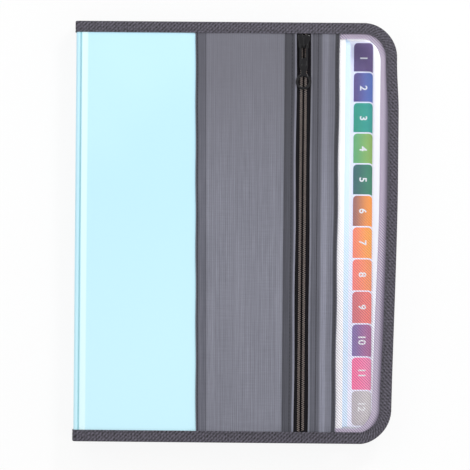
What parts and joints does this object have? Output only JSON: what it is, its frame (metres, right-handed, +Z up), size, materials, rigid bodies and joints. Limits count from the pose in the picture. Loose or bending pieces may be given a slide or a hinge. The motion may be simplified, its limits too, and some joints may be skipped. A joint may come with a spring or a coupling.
{
  "type": "expanding file folder",
  "caption": "Expanding file with a wrap-round bound cover, zipped cloth pocket, clear window, folded gusset and stepped index tabs.",
  "frame": {"origin": "middle of the closed folder's footprint, on the surface that it lies on", "axes": "+X from the spine to the opening edge, +Y from the foot to the head of the pages, +Z up through the thickness, from the back cover to the front cover"},
  "size_m": [0.254, 0.33, 0.0397],
  "materials": {
    "cover_sheet": "light blue translucent polypropylene sheet, smooth and glossy",
    "ribbon": "woven dark grey ribbon, ribbed, folded over the edge and sewn",
    "clear_film": "clear film with fine slanting lines",
    "pocket_cloth": "grey woven polyester cloth",
    "zip_tape": "black woven zip tape",
    "zip_coil": "black nylon coil",
    "black_metal": "glossy black lacquered die-cast metal",
    "white_sheet": "white polypropylene sheet",
    "divider_sheet": "pale blue translucent polypropylene film",
    "label_01": "printed deep purple paper",
    "label_02": "printed violet blue paper",
    "label_03": "printed teal paper",
    "label_04": "printed green paper",
    "label_05": "printed dark green paper",
    "label_06": "printed brown to orange paper",
    "label_07": "printed coral to amber paper",
    "label_08": "printed orange red paper",
    "label_09": "printed red coral paper",
    "label_10": "printed violet to magenta paper",
    "label_11": "printed pink paper",
    "label_12": "printed warm grey paper"
  },
  "bodies": {
    "back": {"back_cover_sheet": "cover_sheet", "back_binding": "ribbon", "rear_panel": "white_sheet", "front_panel": "white_sheet", "gusset": "divider_sheet", "divider_01": "divider_sheet", "divider_02": "divider_sheet", "divider_03": "divider_sheet", "divider_04": "divider_sheet", "divider_05": "divider_sheet", "divider_06": "divider_sheet", "divider_07": "divider_sheet", "divider_08": "divider_sheet", "divider_09": "divider_sheet", "divider_10": "divider_sheet", "divider_11": "divider_sheet", "divider_12": "divider_sheet", "label_01": "label_01", "label_02": "label_02", "label_03": "label_03", "label_04": "label_04", "label_05": "label_05", "label_06": "label_06", "label_07": "label_07", "label_08": "label_08", "label_09": "label_09", "label_10": "label_10", "label_11": "label_11", "label_12": "label_12"},
    "spine": {"spine_sheet": "cover_sheet", "spine_binding_head": "ribbon", "spine_binding_foot": "ribbon"},
    "front_cover": {"front_cover_sheet": "cover_sheet", "window_film": "clear_film", "front_binding": "ribbon", "pocket_panel": "pocket_cloth", "pocket_strip": "pocket_cloth", "zip_tape_left": "zip_tape", "zip_tape_right": "zip_tape", "zip_coil_left": "zip_coil", "zip_coil_right": "zip_coil"},
    "slider": {"zip_slider": "black_metal"},
    "pull": {"zip_pull": "black_metal"}
  },
  "joints": [
    {"name": "spine_fold", "type": "hinge", "parent": "back", "child": "spine", "pos_m": [-0.12495, 0, 0.00205], "axis": [0, -1, 0], "range_deg": [0, 90]},
    {"name": "cover_fold", "type": "hinge", "parent": "spine", "child": "front_cover", "pos_m": [-0.12495, 0, 0.03195], "axis": [0, -1, 0], "range_deg": [0, 86]},
    {"name": "zip_slide", "type": "slide", "parent": "front_cover", "child": "slider", "axis": [0, -1, 0], "range_m": [0, 0.295]},
    {"name": "pull_swing", "type": "hinge", "parent": "slider", "child": "pull", "pos_m": [0.0522, 0.1473, 0.03785], "axis": [-1, 0, 0], "range_deg": [0, 170]}
  ]
}
